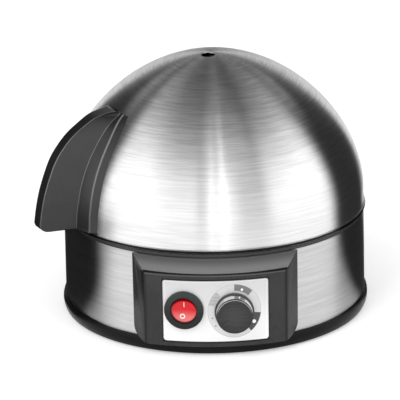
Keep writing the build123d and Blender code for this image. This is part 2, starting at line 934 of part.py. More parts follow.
with BuildPart() as element_straps:
    for angle in stud_angles:
        with BuildSketch(Plane.XY.offset(strap_top).rotated((0, 0, angle))):
            with Locations((stud_circle - strap_reach + strap_length / 2, 0)):
                SlotOverall(strap_length, strap_width)
            with Locations((stud_circle, 0)):
                Circle(stud_radius + slip_fit, mode=Mode.SUBTRACT)
        extrude(amount=-strap_wall)
finish(element_straps, "element_straps")

with BuildPart() as element_nuts:
    for level in (strap_top - strap_wall, shield_top - shield_wall):
        with BuildSketch(Plane.XY.offset(level)):
            with Locations(*[on_circle(stud_circle, angle) for angle in stud_angles]):
                RegularPolygon(nut_flats / 2, 6, major_radius=False)
                Circle(stud_radius + seat_fit, mode=Mode.SUBTRACT)
        extrude(amount=-nut_height)
finish(element_nuts, "element_nuts")

# Heat shield, thermostat and thermal fuse
thermostat_bottom = dish_under - thermostat_height
with BuildPart() as heat_shield:
    with BuildSketch(Plane.XY.offset(shield_top)):
        Circle(shield_radius)
    extrude(amount=-shield_wall)
    with BuildSketch(Plane.XY.offset(shield_top)):
        Circle(shield_radius)
        Circle(shield_radius - shield_wall, mode=Mode.SUBTRACT)
    extrude(amount=shield_rim)
    with BuildSketch(Plane.XY.offset(shield_top)):
        Circle(thermostat_radius + well_gap)
    extrude(amount=thermostat_bottom - shield_top)
    with BuildSketch(Plane.XY.offset(shield_top - shield_wall)):
        Circle(thermostat_radius + well_gap - shield_wall)
    extrude(amount=thermostat_bottom - shield_top, mode=Mode.SUBTRACT)
    with BuildSketch(Plane.XY.offset(shield_top)):
        with Locations(*[on_circle(stud_circle, angle) for angle in stud_angles]):
            Circle(stud_radius + slip_fit)
        with Locations(*[tip[:2] for tip in tips]):
            Circle(element_radius + element_gap)
    extrude(amount=-shield_wall, mode=Mode.SUBTRACT)
finish(heat_shield, "heat_shield")

with BuildPart() as safety_thermostat:
    with BuildSketch(Plane.XY.offset(thermostat_bottom)):
        Circle(thermostat_radius)
    extrude(amount=thermostat_height)
    with BuildSketch(Plane.XY.offset(thermostat_bottom + thermostat_height / 2)):
        Rectangle(2 * (thermostat_radius + blade_length), blade_width)
    extrude(amount=blade_wall)
finish(safety_thermostat, "safety_thermostat")

with BuildPart() as thermal_fuse:
    with BuildSketch(facing(240, fuse_circle, shield_top + fuse_radius)):
        Circle(fuse_radius)
    extrude(amount=fuse_length / 2, both=True)
finish(thermal_fuse, "thermal_fuse")

# Screws under the base
with BuildPart() as bottom_screws:
    for angle in post_angles:
        spot = (*on_circle(post_circle, angle), cover_under)
        plane = Plane(origin=spot, z_dir=(0, 0, 1))
        sizes = (base_screw_length, base_screw_head_radius, base_screw_head)
        add(pan_screw(plane, base_screw_radius, *sizes))
finish(bottom_screws, "bottom_screws")

# Cord bush in the back wall
with BuildPart() as cord_bush:
    collar_face = sqrt(housing_inner**2 - cord_bush_collar_radius**2) - seat_fit
    with BuildSketch(facing(90, collar_face, bush_z)):
        Circle(cord_bush_radius)
    extrude(amount=band_bottom_radius + seat_fit - collar_face)
    with BuildSketch(facing(90, band_bottom_radius + seat_fit, bush_z)):
        Circle(cord_bush_flange_radius)
    extrude(amount=cord_bush_flange)
    with BuildSketch(facing(90, collar_face, bush_z)):
        Circle(cord_bush_collar_radius)
    extrude(amount=-cord_bush_collar)
    with BuildSketch(facing(90, 0, bush_z)):
        Circle(cord_bore)
    extrude(amount=far, mode=Mode.SUBTRACT)
finish(cord_bush, "cord_bush")

# Egg tray with its pull grip
with BuildPart() as egg_tray:
    rim_inner = tray_radius - tray_rim_wall
    with BuildSketch(Plane.XZ):
        Polygon(
            (0, tray_under),
            (rim_inner, tray_under),
            (rim_inner, tray_top - tray_rim_height),
            (tray_radius, tray_top - tray_rim_height),
            (tray_radius, tray_top),
            (0, tray_top),
            align=None,
        )
    revolve(axis=Axis.Z)
    for index in range(egg_count):
        turn = 360 / egg_count * (index + 0.5)
        with BuildSketch(Plane.XY.offset(tray_under).rotated((0, 0, turn))):
            with Locations(((rib_inner + rib_outer) / 2, 0)):
                Rectangle(rib_outer - rib_inner, rib_wall)
        extrude(amount=-rib_height)
    with BuildSketch(Plane.XY.offset(tray_top)):
        with PolarLocations(egg_circle, egg_count):
            Circle(egg_hole_radius + egg_collar_wall)
    extrude(amount=egg_collar_height)
    with BuildSketch(Plane.XY.offset(tray_under)):
        with PolarLocations(egg_circle, egg_count):
            Circle(egg_hole_radius)
    extrude(amount=tray_wall + egg_collar_height, mode=Mode.SUBTRACT)
    grip_top = tray_top + grip_height
    head_bottom = grip_top - grip_head
    with BuildSketch(Plane.XZ):
        with BuildLine():
            Line((0, tray_under), (grip_foot_radius, tray_under))
            Line((grip_foot_radius, tray_under), (grip_foot_radius, tray_top + grip_plinth))
            Spline(
                (grip_foot_radius, tray_top + grip_plinth),
                (grip_neck_radius + grip_flare, tray_top + grip_height / 4),
                (grip_neck_radius, head_bottom - grip_shoulder),
                tangents=[(-1, 0.4), (0, 1)],
            )
            Spline(
                (grip_neck_radius, head_bottom - grip_shoulder),
                (grip_head_radius, grip_top - grip_head / 2),
                (0, grip_top),
                tangents=[(0, 1), (-1, 0)],
            )
            Line((0, grip_top), (0, tray_under))
        make_face()
    revolve(axis=Axis.Z)
finish(egg_tray, "egg_tray")

# Lid: one full outline for cutting, then the shell
bead_circle = lid_radius + seat_fit
bead_z = rim_bottom + bead_radius
with BuildPart(mode=Mode.PRIVATE) as lid_outside:
    with BuildSketch(Plane.XZ):
        with BuildLine():
            dome_outline(0)
            Line((0, dome_start + dome_height), (0, rim_bottom))
            Line((0, rim_bottom), (lid_radius, rim_bottom))
            Line((lid_radius, rim_bottom), (lid_radius, dome_start))
        make_face()
        with Locations((bead_circle, bead_z)):
            Circle(bead_radius)
    revolve(axis=Axis.Z)

with BuildPart() as lid_dome:
    with BuildSketch(Plane.XZ):
        with BuildLine():
            dome_outline(0)
            Line((0, dome_start + dome_height), (0, dome_start + dome_height - lid_wall))
            dome_outline(lid_wall)
            Line((lid_radius - lid_wall, dome_start), (lid_radius - lid_wall, bead_z))
            Line((lid_radius - lid_wall, bead_z), (lid_radius, bead_z))
            Line((lid_radius, bead_z), (lid_radius, dome_start))
        make_face()
        with Locations((bead_circle, bead_z)):
            Circle(bead_radius)
    revolve(axis=Axis.Z)
    with BuildSketch(Plane.XY.offset(dome_start)):
        with Locations(steam_hole_spot):
            Circle(steam_hole_radius)
    extrude(amount=far, mode=Mode.SUBTRACT)
    for z in lid_screw_heights:
        with BuildSketch(lid_screw_plane(z, 0)):
            Circle(lid_screw_radius + slip_fit)
        extrude(amount=lid_washer_radius, both=True, mode=Mode.SUBTRACT)
finish(lid_dome, "lid_dome")


handle_bottom = rim_bottom + handle_lift
handle_top = rim_bottom + handle_rise
fin_outline = [(lid_radius + out, rim_bottom + up) for out, up in fin_steps]
top_lean = radians(dome_lean(handle_top))


def handle_end(rise):
    """A point on the handle's top end, in its side view, at a distance off the dome."""
    return dome_radius(handle_top) + rise * cos(top_lean), handle_top + rise * sin(top_lean)


def handle_section(z, reach):
    """The handle's plan at a height: flange edge, ridge, root and side of the fin.

    The side runs from the root to the fin's edge at the reach, and a little further.
    """
    dome = dome_radius(z)
    level = cos(radians(dome_lean(z)))
    low = max(0, 1 - (z - rim_bottom) / pad_straight_low)
    high = max(0, (z - rim_bottom - pad_straight_high) / (handle_rise - pad_straight_high))
    tip = min(1, high) ** tip_sharpness
    spread = pad_angle - pad_narrowing * (low / 2 + high**3)
    half_width = root_half - (root_half - foot_half) * low - (root_half - tip_root_half) * tip
    edge_width = edge_half + (tip_edge_half - edge_half) * tip
    ridge_rise = pad_wall + (tip_pad_wall - pad_wall) * tip
    root_rise = root_offset + (tip_root_offset - root_offset) * tip
    root_u = sqrt((dome + root_rise / level) ** 2 - half_width**2)
    side_length = max(reach - root_u, 2 * tip_root_offset)
    run = fin_overrun * side_length
    draft = (half_width - edge_width) / side_length
    half = [
        on_circle(dome - pad_wall, spread),
        on_circle(dome + slip_fit, spread),
        on_circle(dome + ridge_rise / level, spread * ridge_share),
        (root_u, half_width),
        (root_u + run, half_width - run * draft),
    ]
    Polygon(*half, *[(u, -w) for u, w in reversed(half)], align=None)


# Lid handle: lofted through level plans, cut to its side view, its top end and the dome
with BuildPart() as lid_handle:
    fin_top = handle_end(fin_tip_rise)
    levels = [(lid_radius + fin_reach, rim_bottom), *fin_outline]
    levels += [fin_top, (fin_top[0], fin_top[1] + pad_wall)]
    for reach, z in levels:
        with BuildSketch(Plane.XY.offset(z).rotated((0, 0, handle_angle))):
            handle_section(z, reach)
    loft()
    with BuildSketch(upright(handle_angle)):
        with BuildLine():
            corner_top = fin_outline[0]
            corner_u = corner_top[0] - fin_corner
            bow = fin_corner * (1 - sin(radians(45)))
            Line((0, handle_bottom), (corner_u, handle_bottom))
            ThreePointArc(
                (corner_u, handle_bottom),
                (corner_top[0] - bow, handle_bottom + bow),
                corner_top,
            )
            Spline(*fin_outline, fin_top)
            Polyline(
                fin_top,
                (fin_top[0], fin_top[1] + pad_wall),
                (0, fin_top[1] + pad_wall),
                (0, handle_bottom),
            )
        make_face()
    extrude(amount=far, both=True, mode=Mode.INTERSECT)
    end_inner, end_outer = handle_end(-2 * pad_wall), handle_end(fin_reach)
    with BuildSketch(Plane.XZ):
        Polygon((0, end_inner[1]), end_inner, end_outer, (0, end_outer[1]), align=None)
    revolve(axis=Axis.Z, mode=Mode.SUBTRACT)
    add(lid_outside.part, mode=Mode.SUBTRACT)
    for z in lid_screw_heights:
        with BuildSketch(lid_screw_plane(z, lid_wall)):
            Circle(lid_screw_radius + seat_fit)
        extrude(amount=lid_screw_length, mode=Mode.SUBTRACT)
finish(lid_handle, "lid_handle")

# Screws and washers of the handle, inside the lid
with BuildPart() as handle_screws:
    for z in lid_screw_heights:
        plane = lid_screw_plane(z, lid_wall + lid_washer_seat + lid_washer_wall)
        sizes = (lid_screw_length, lid_screw_head_radius, lid_screw_head)
        add(pan_screw(plane, lid_screw_radius, *sizes))
finish(handle_screws, "handle_screws")

with BuildPart() as handle_washers:
    for z in lid_screw_heights:
        with BuildSketch(lid_screw_plane(z, lid_wall + lid_washer_seat)):
            Circle(lid_washer_radius)
            Circle(lid_screw_radius + slip_fit, mode=Mode.SUBTRACT)
        extrude(amount=-lid_washer_wall)
finish(handle_washers, "handle_washers")
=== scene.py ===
"""The looks of an electric egg cooker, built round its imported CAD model.

Metres, +Z up, the control panel faces -Y, and the origin is on the round body's axis
on the surface that the feet stand on.
"""

import bmesh
import bpy
import numpy as np
from mathutils import Matrix, Vector


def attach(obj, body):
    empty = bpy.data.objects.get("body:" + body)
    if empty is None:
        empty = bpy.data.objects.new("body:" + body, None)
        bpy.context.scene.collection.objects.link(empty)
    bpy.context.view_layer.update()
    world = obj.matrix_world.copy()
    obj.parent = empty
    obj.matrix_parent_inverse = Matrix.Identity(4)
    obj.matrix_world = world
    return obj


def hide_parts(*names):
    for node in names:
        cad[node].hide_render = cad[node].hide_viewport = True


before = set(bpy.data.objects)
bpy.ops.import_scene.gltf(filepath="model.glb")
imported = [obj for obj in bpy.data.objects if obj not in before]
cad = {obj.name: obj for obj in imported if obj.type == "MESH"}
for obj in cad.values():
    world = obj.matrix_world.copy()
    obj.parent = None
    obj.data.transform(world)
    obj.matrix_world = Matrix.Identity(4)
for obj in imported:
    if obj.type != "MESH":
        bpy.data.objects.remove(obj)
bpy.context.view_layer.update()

# Sizes shared with the CAD model, in metres
RIM_BOTTOM = 0.0623
LID_RADIUS = 0.0914
LID_WALL = 0.0006
BEAD_RADIUS = 0.00115
BEAD = (LID_RADIUS + 0.00005, RIM_BOTTOM + BEAD_RADIUS)
DOME_START = RIM_BOTTOM + 0.0119
DOME_HEIGHT = 0.0842
POWER_OUT = 1.879
POWER_UP = 1.812
STEAM_HOLE = np.array([-0.0018, -0.0055])
STEAM_RADIUS = 0.0042
PANEL_Z = 0.0283
KNOB_X = 0.0109
SWITCH_X = -0.0184
SWITCH_Z = 0.0292
FACE_RADIUS = 0.115
FACE_CENTRE = 0.0195
PLATE_HALF = (0.0307, 0.0188)

# The lid's own sheet: its crown's edge, its side's foot, the rings under it and their points
CROWN_RADIUS = 0.036
LID_FOOT = 0.0657
BEAD_NECK = (0.06475, 0.06464)
LID_POINTS = 288

# Marks, in metres: the painted shade band over the lid's bead, the panel's dial, and the bezel's
# scoop, cheeks and painted shade and highlight lines
BEAD_SHADE_BAND = (0.0627, 0.0642)
DIAL_X = 0.01094
DIAL_INNER, DIAL_OUTER = 0.0119, 0.0156
DIAL_RISE = 1.05
SCOOP_TOP = 0.0599
SCOOP_DEPTH = 0.0089
SCOOP_FOOT = 0.05105
SCOOP_RADIUS = 0.0931
SCOOP_HALF = 0.0483
CHEEK_X = 0.0416
BORDER_SHADE = 0.001
FOOT_SHADE_LINE = 0.0511
LIT_LINE = 0.0502
LINE_HALF = 0.0004

# Patterns: how fine the plastic's grain and the metal's pits are, and the UV map's name
SPARK = 2600.0
PITS = 900.0
RUN = "run"


# Shader maths written as expressions

class Value:
    """A number that a material works out; sums and products of it add Math nodes."""

    def __init__(self, recipe, socket):
        self.recipe = recipe
        self.socket = socket

    def _math(self, operation, *values):
        return self.recipe.node("ShaderNodeMath", {"operation": operation}, dict(enumerate(values)))

    def __add__(self, other):
        return self._math("ADD", self, other)

    def __radd__(self, other):
        return self._math("ADD", other, self)

    def __sub__(self, other):
        return self._math("SUBTRACT", self, other)

    def __rsub__(self, other):
        return self._math("SUBTRACT", other, self)

    def __mul__(self, other):
        return self._math("MULTIPLY", self, other)

    def __rmul__(self, other):
        return self._math("MULTIPLY", other, self)

    def __truediv__(self, other):
        return self._math("DIVIDE", self, other)

    def __rtruediv__(self, other):
        return self._math("DIVIDE", other, self)

    def __neg__(self):
        return self._math("MULTIPLY", self, -1.0)

    def above(self, limit):
        return self._math("GREATER_THAN", self, limit)

    def below(self, limit):
        return self._math("LESS_THAN", self, limit)

    def smallest(self, other):
        return self._math("MINIMUM", self, other)

    def largest(self, other):
        return self._math("MAXIMUM", self, other)

    def size(self):
        return self._math("ABSOLUTE", self)

    def root(self):
        return self._math("SQRT", self)

    def sine(self):
        return self._math("SINE", self)

    def turn_from(self, other):
        return self._math("ARCTAN2", self, other)

    def ramp(self, low, high, start=0.0, end=1.0):
        """This value carried smoothly from start at low to end at high."""
        settings = {"interpolation_type": "SMOOTHSTEP"}
        inputs = {"Value": self, "From Min": low, "From Max": high, "To Min": start, "To Max": end}
        return self.recipe.node("ShaderNodeMapRange", settings, inputs)


class Recipe:
    """One material or world and the nodes that make it."""

    def __init__(self, name, world=False):
        self.material = (bpy.data.worlds if world else bpy.data.materials).new(name)
        self.material.use_nodes = True
        self.tree = self.material.node_tree
        self.tree.nodes.clear()
        kind = "ShaderNodeOutputWorld" if world else "ShaderNodeOutputMaterial"
        self.output = self.tree.nodes.new(kind)

    def node(self, kind, settings=None, inputs=None, output=0):
        """Add a node of a type, its settings first and then its inputs, and return an output."""
        made = self.tree.nodes.new(kind)
        for key, value in (settings or {}).items():
            setattr(made, key, value)
        for key, value in (inputs or {}).items():
            socket = made.inputs[key]
            if isinstance(value, Value):
                self.tree.links.new(value.socket, socket)
            else:
                socket.default_value = value
        return Value(self, made.outputs[output])

    def place(self, which="Object"):
        """The object's own coordinates, or a world's directions, as a vector and as x, y and z."""
        vector = self.node("ShaderNodeTexCoord", output=which)
        parts = self.node("ShaderNodeSeparateXYZ", None, {0: vector})
        return vector, [Value(self, part) for part in parts.socket.node.outputs]

    def vector(self, x, y, z):
        return self.node("ShaderNodeCombineXYZ", None, {"X": x, "Y": y, "Z": z})

    def noise(self, vector, scale, detail, roughness):
        inputs = {"Vector": vector, "Scale": scale, "Detail": detail, "Roughness": roughness}
        return self.node("ShaderNodeTexNoise", {"noise_dimensions": "3D"}, inputs)

    def blend(self, share, first, second):
        """Two colours mixed by a share from 0 to 1. Sockets 6 and 7 are the node's colours."""
        settings = {"data_type": "RGBA"}
        inputs = {"Factor": share, 6: first, 7: second}
        return self.node("ShaderNodeMix", settings, inputs, output=2)

    def spark(self, vector):
        """The fine grain that moulded plastic has."""
        return self.noise(vector, SPARK, 2.0, 0.6)

    def uv(self, layer, output):
        """One part of a piece's own UV map: 0 along, 1 across."""
        place = self.node("ShaderNodeUVMap", {"uv_map": layer})
        return self.node("ShaderNodeSeparateXYZ", None, {0: place}, output=output)

    def bump(self, height, distance):
        """A normal that a height in metres makes."""
        inputs = {"Height": height, "Distance": distance, "Strength": 1.0}
        return self.node("ShaderNodeBump", None, inputs)

    def rays(self):
        """1 for rays from the camera, off a shiny surface, and through glass, each by itself."""
        outputs = self.node("ShaderNodeLightPath").socket.node.outputs
        names = ("Is Camera Ray", "Is Glossy Ray", "Is Transmission Ray")
        return [Value(self, outputs[name]) for name in names]

    def surface(self, **sockets):
        """Finish with one Principled shader; underscores in names stand for spaces."""
        inputs = {name.replace("_", " "): value for name, value in sockets.items()}
        return self.finish(self.node("ShaderNodeBsdfPrincipled", None, inputs, output="BSDF"))

    def finish(self, shader):
        """Lead a shader to the output."""
        self.tree.links.new(shader.socket, self.output.inputs["Surface"])
        return self.material


def rgb(red, green=None, blue=None):
    """A colour with full alpha; one number makes a grey."""
    green = red if green is None else green
    blue = red if blue is None else blue
    return (red, green, blue, 1.0)


def round_the_axis(recipe, x, y, height, spread):
    """Coordinates that run round the axis slowly and along height fast, without a seam: the
    direction from the axis, times a spread, beside the height."""
    radius = (x * x + y * y).root().largest(0.0001)
    return recipe.vector(x / radius * spread, y / radius * spread, height)


def across_the_face(x, y):
    """Distance to the right along the bowed front: its radius times the turn round its centre."""
    return x.turn_from(-(y - FACE_CENTRE)) * FACE_RADIUS


def brushed_steel(name, grey, roughness=0.34, along=None):
    """Steel brushed in rings: long fine lines in colour and roughness, gloss stretched across.
    A UV map that runs along the sheet gives the lid its rings, and with it the lid's bead is
    painted dark as shade and dark reflection."""
    recipe = Recipe(name)
    _, (x, y, z) = recipe.place()
    height = recipe.uv(along, 1) if along else z
    hair = recipe.noise(round_the_axis(recipe, x, y, height * 1800.0, 4.0), 1.0, 3.0, 0.7)
    line = recipe.noise(round_the_axis(recipe, x, y, height * 700.0, 2.2), 1.0, 3.0, 0.6)
    sweep = recipe.noise(round_the_axis(recipe, x, y, height * 150.0, 0.9), 1.0, 2.0, 0.5)
    crown = z.ramp(0.085, 0.135, 0.45, 0.85)
    lines = 0.5 + (hair * 0.45 + line * 0.4 + sweep * 0.15 - 0.5) * crown
    shade = lines.ramp(0.36, 0.64)
    colour = recipe.blend(shade, rgb(grey * 0.75), rgb(grey * 1.15))
    if along:
        # Painted shade and reflection: the lid's bead is painted near black, and its lowest part a
        # dim grey that dulls its reflection.
        bead_shade = z.above(BEAD_SHADE_BAND[0]) * z.below(BEAD_SHADE_BAND[1])
        colour = recipe.blend(bead_shade, colour, rgb(0.015))
        colour = recipe.blend(z.below(BEAD_SHADE_BAND[0]), colour, rgb(0.35))
    return recipe.surface(
        Base_Color=colour,
        Metallic=1.0,
        Roughness=roughness + (lines - 0.5) * 0.06,
        Anisotropic=1.0,
        Anisotropic_Rotation=0.25,
        Normal=recipe.bump(lines, 0.00005),
    )


def moulded(name, colour, roughness, specular=0.5):
    """Moulded plastic: a fine spark grain, with soft cloudy changes in gloss and shade."""
    recipe = Recipe(name)
    vector, _ = recipe.place()
    spark = recipe.spark(vector)
    cloud = recipe.noise(vector, 38.0, 3.0, 0.55)
    shade = cloud.ramp(0.3, 0.7)
    dark = rgb(*[c * 0.86 for c in colour])
    light = rgb(*[min(1.0, c * 1.16) for c in colour])
    return recipe.surface(
        Base_Color=recipe.blend(shade, dark, light),
        Roughness=roughness + (cloud - 0.5) * 0.12 + (spark - 0.5) * 0.08,
        Specular_IOR_Level=specular,
        Normal=recipe.bump(spark, 0.00003),
    )


def creased_black(name):
    """The grip's black plastic, with painted highlights along its creases, which its UV map marks,
    stronger higher up.
    """
    recipe = Recipe(name)
    vector, (_, _, z) = recipe.place()
    spark = recipe.spark(vector)
    cloud = recipe.noise(vector, 60.0, 3.0, 0.55)
    crease_highlight = recipe.uv(RUN, 0)
    plain = recipe.blend(cloud.ramp(0.3, 0.7), rgb(0.009), rgb(0.014))
    # Painted highlight: the creases' colour is lightened, more so higher up the grip.
    share = crease_highlight * z.ramp(0.064, 0.11, 0.35, 1.0)
    return recipe.surface(
        Base_Color=recipe.blend(share, plain, rgb(0.2)),
        Roughness=0.36 + (cloud - 0.5) * 0.1 + (spark - 0.5) * 0.08 - crease_highlight * 0.08,
        Normal=recipe.bump(spark, 0.00002),
    )


def lined_black(name):
    """The knob cap's black face with fine lines across it, a little lighter in the middle, and a
    painted highlight along the top of its rim.
    """
    recipe = Recipe(name)
    _, (x, y, z) = recipe.place()
    line = recipe.noise(recipe.vector(x * 90.0, y * 90.0, z * 2600.0), 1.0, 3.0, 0.6)
    side, rise = x - KNOB_X, z - PANEL_Z
    reach = (side * side + rise * rise).root()
    shade = line.ramp(0.3, 0.7, 0.0, 0.3) + reach.ramp(0.011, 0.002, 0.0, 0.4)
    # Painted highlight: a thin pale line round the top half of the cap's edge.
    rim = (reach - 0.01005).size().below(0.00016) * rise.ramp(0.001, 0.006)
    colour = recipe.blend(shade, rgb(0.008), rgb(0.05))
    return recipe.surface(
        Base_Color=recipe.blend(rim, colour, rgb(0.45)),
        Roughness=0.34 + (line - 0.5) * 0.14, Specular_IOR_Level=0.4,
        Normal=recipe.bump(line, 0.00001))


def plain_metal(name, colour, roughness=0.3):
    """Machined or plated metal with faint clouding and tiny pits."""
    recipe = Recipe(name)
    vector, _ = recipe.place()
    cloud = recipe.noise(vector, PITS / 12, 3.0, 0.6)
    pits = recipe.noise(vector, PITS, 2.0, 0.6)
    shade = cloud.ramp(0.3, 0.7)
    dark = rgb(*[c * 0.88 for c in colour])
    light = rgb(*[min(1.0, c * 1.08) for c in colour])
    return recipe.surface(
        Base_Color=recipe.blend(shade, dark, light),
        Metallic=1.0,
        Roughness=roughness + (cloud - 0.5) * 0.1,
        Normal=recipe.bump(pits, 0.00001),
    )


def panel_silver(name):
    """The panel's silver sheet: fine grain, a pale frame line at its edge, and the dial's ring with
    a grey, a dark and a hatched stretch, two dots and two pale marks."""
    recipe = Recipe(name)
    _, (x, y, z) = recipe.place()
    across, height = across_the_face(x, y), z - PANEL_Z
    grain = recipe.noise(recipe.vector(across * 160.0, 0.0, z * 2600.0), 1.0, 3.0, 0.6)
    # Painted shade: the sheet is painted greyer towards its top.
    shade = height.ramp(-0.016, 0.019) + (grain - 0.5) * 0.12
    colour = recipe.blend(shade, rgb(0.92), rgb(0.64, 0.64, 0.65))
    inside = (PLATE_HALF[0] - across.size()).smallest(PLATE_HALF[1] - height.size())
    frame_line = (inside - 0.0006).size().below(0.00022)
    colour = recipe.blend(frame_line * 0.3, colour, rgb(1.0))
    side, rise = across - DIAL_X, height / DIAL_RISE
    reach = (side * side + rise * rise).root()
    clock = side.turn_from(rise) * (180 / np.pi)

    def stretch(low, high):
        """1 where the turn, clockwise from the top, lies between two angles under 180."""
        return clock.above(low) * clock.below(high)

    def spot(turn, out, size):
        """1 inside a round mark at a turn and a distance from the dial's middle."""
        u = side - out * np.sin(np.radians(turn))
        v = rise - out * np.cos(np.radians(turn))
        return (u * u + v * v).root().below(size)

    ring = reach.above(DIAL_INNER) * reach.below(DIAL_OUTER)
    colour = recipe.blend(ring * 0.85, colour, rgb(0.66))
    line = (reach - DIAL_OUTER).size().below(0.00014)
    colour = recipe.blend(line, colour, rgb(0.5))
    hatch = (z * 3100.0).sine().above(0.0) * 0.35 + 0.65
    colour = recipe.blend(ring * stretch(-76.0, -42.0) * hatch, colour, rgb(0.42))
    colour = recipe.blend(ring * stretch(0.0, 43.0), colour, rgb(0.19))
    colour = recipe.blend(ring * stretch(97.0, 142.0), colour, rgb(0.06))
    pale = spot(20.0, 0.0131, 0.00075).largest(spot(121.0, 0.0134, 0.0011))
    colour = recipe.blend(pale, colour, rgb(1.0))
    dots = spot(-107.0, 0.0136, 0.0005).largest(spot(-128.0, 0.0141, 0.0005))
    colour = recipe.blend(dots, colour, rgb(0.3))
    return recipe.surface(
        Base_Color=colour, Metallic=0.1, Roughness=0.36 + (grain - 0.5) * 0.1,
        Normal=recipe.bump(grain, 0.00001))


def graded_black(name):
    """The switch flange's black plastic, with a painted greenish-grey sheen at its top, fading to
    black at its foot.
    """
    recipe = Recipe(name)
    vector, (_, _, z) = recipe.place()
    spark = recipe.spark(vector)
    cloud = recipe.noise(vector, 60.0, 3.0, 0.55)
    # Painted sheen: the top is painted greenish grey, fading to black lower down.
    rise = (z - SWITCH_Z + (cloud - 0.5) * 0.002).ramp(-0.006, 0.009)
    return recipe.surface(
        Base_Color=recipe.blend(rise, rgb(0.003), rgb(0.022, 0.03, 0.026)),
        Roughness=0.3 + (spark - 0.5) * 0.08, Specular_IOR_Level=0.35,
        Normal=recipe.bump(spark, 0.00002))


def lit_red(name):
    """The rocker's clear red plastic, painted paler low down as painted light, with a painted
    shadow in dark red round its edge, and I and O marks.
    """
    recipe = Recipe(name)
    vector, (x, _, z) = recipe.place()
    cloud = recipe.noise(vector, 260.0, 2.0, 0.5)
    rise = z - SWITCH_Z
    # Painted light: the red is painted paler towards the bottom.
    pale = rise.ramp(0.0015, -0.006) + (cloud - 0.5) * 0.15
    colour = recipe.blend(pale, rgb(0.70, 0.006, 0.014), rgb(0.80, 0.20, 0.19))
    side = (x - SWITCH_X) * 1.013
    # Painted shadow: a dark red ring is painted round the rocker's edge.
    edge = (side * side + rise * rise / 0.9).root()
    colour = recipe.blend(edge.ramp(0.0066, 0.0076), colour, rgb(0.18, 0.0, 0.005))
    bar = side.size().below(0.0002) * (rise - 0.0044).size().below(0.0017)
    off_side, bottom = side + 0.001, rise + 0.0034
    ring = (off_side * off_side + bottom * bottom).root()
    mark = bar.largest((ring - 0.00125).size().below(0.0003))
    colour = recipe.blend(mark, colour, rgb(0.95))
    return recipe.surface(
        Base_Color=colour, Roughness=0.22 + (cloud - 0.5) * 0.06, Specular_IOR_Level=0.35)


def scooped_black(name):
    """The bezel's black plastic, glossy on its face and matt grey in the scoop of its top edge, the
    scoop painted darker towards its top as shade. Painted shade lines darken its corners, the
    plate's border and the scoop's foot, with a painted highlight on the edge under it."""
    recipe = Recipe(name)
    vector, (x, y, z) = recipe.place()
    spark = recipe.spark(vector)
    cloud = recipe.noise(vector, 45.0, 3.0, 0.55)
    radius = (x * x + y * y).root()
    side = x.size()
    drop = (SCOOP_TOP - z) / SCOOP_DEPTH
    curve = SCOOP_RADIUS + drop * drop * 0.0026
    scoop = z.above(SCOOP_FOOT) * radius.below(curve) * side.below(SCOOP_HALF - drop * 0.0062)
    across = across_the_face(x, y).size() - PLATE_HALF[0]
    # Painted shade: near black is painted round the plate's border and along the corners by the
    # cheeks.
    border_shade = across.largest((z - PANEL_Z).size() - PLATE_HALF[1]).below(BORDER_SHADE)
    corner = (side - CHEEK_X).size().ramp(0.0, 0.0022) * (1 - border_shade)
    face = recipe.blend(cloud.ramp(0.3, 0.7), rgb(0.022), rgb(0.03))
    face = recipe.blend(corner, rgb(0.002), face)
    # Painted highlight: a pale line along the rounded edge under the scoop.
    lit_edge = (z - LIT_LINE).size().below(LINE_HALF) * side.below(CHEEK_X - 0.0006)
    face = recipe.blend(lit_edge, face, rgb(0.07))
    # The scoop's matt grey, painted darker towards its top as the lid's shade.
    matt_and_shade = recipe.blend(drop.ramp(0.1, 0.8), rgb(0.07), rgb(0.16))
    shade = recipe.blend(scoop, face, matt_and_shade)
    # Painted shade: a near-black line at the scoop's foot.
    foot = (z - FOOT_SHADE_LINE).size().below(LINE_HALF) * side.below(CHEEK_X + 0.0004)
    return recipe.surface(
        Base_Color=recipe.blend(foot, shade, rgb(0.001)),
        Roughness=0.28 + scoop * 0.3 + (cloud - 0.5) * 0.1 + (spark - 0.5) * 0.08,
        Specular_IOR_Level=0.3,
        Normal=recipe.bump(spark, 0.00002),
    )


# Surfaces as grids of points

def skin(name, points, closed_u=False, closed_v=False, material=None, uv=None):
    """A mesh from a grid of points, rows along u and columns along v, joined where closed. Points
    that meet at a pole become one, and a UV map of the same grid may follow."""
    rows, columns = points.shape[:2]
    i = np.arange(rows if closed_u else rows - 1)
    j = np.arange(columns if closed_v else columns - 1)
    I, J = np.meshgrid(i, j, indexing="ij")
    I2, J2 = (I + 1) % rows, (J + 1) % columns
    quads = np.stack([I * columns + J, I2 * columns + J, I2 * columns + J2, I * columns + J2], -1)
    mesh = bpy.data.meshes.new(name)
    mesh.from_pydata(points.reshape(-1, 3).tolist(), [], quads.reshape(-1, 4).tolist())
    if uv is not None:
        layer = mesh.uv_layers.new(name=RUN)
        loops = np.zeros(len(mesh.loops), np.int32)
        mesh.loops.foreach_get("vertex_index", loops)
        layer.data.foreach_set("uv", uv.reshape(-1, 2)[loops].astype(np.float32).ravel())
    work = bmesh.new()
    work.from_mesh(mesh)
    bmesh.ops.remove_doubles(work, verts=work.verts, dist=1e-7)
    work.to_mesh(mesh)
    work.free()
    mesh.polygons.foreach_set("use_smooth", np.ones(len(mesh.polygons), bool))
    piece = bpy.data.objects.new(name, mesh)
    bpy.context.scene.collection.objects.link(piece)
    if material:
        mesh.materials.append(material)
    return piece


def spread_evenly(path, count):
    """The same path with its points spread evenly by length."""
    run = np.concatenate([[0], np.cumsum(np.linalg.norm(np.diff(path, axis=0), axis=1))])
    want = np.linspace(0, run[-1], count)
    return np.stack([np.interp(want, run, path[:, k]) for k in range(path.shape[1])], -1)


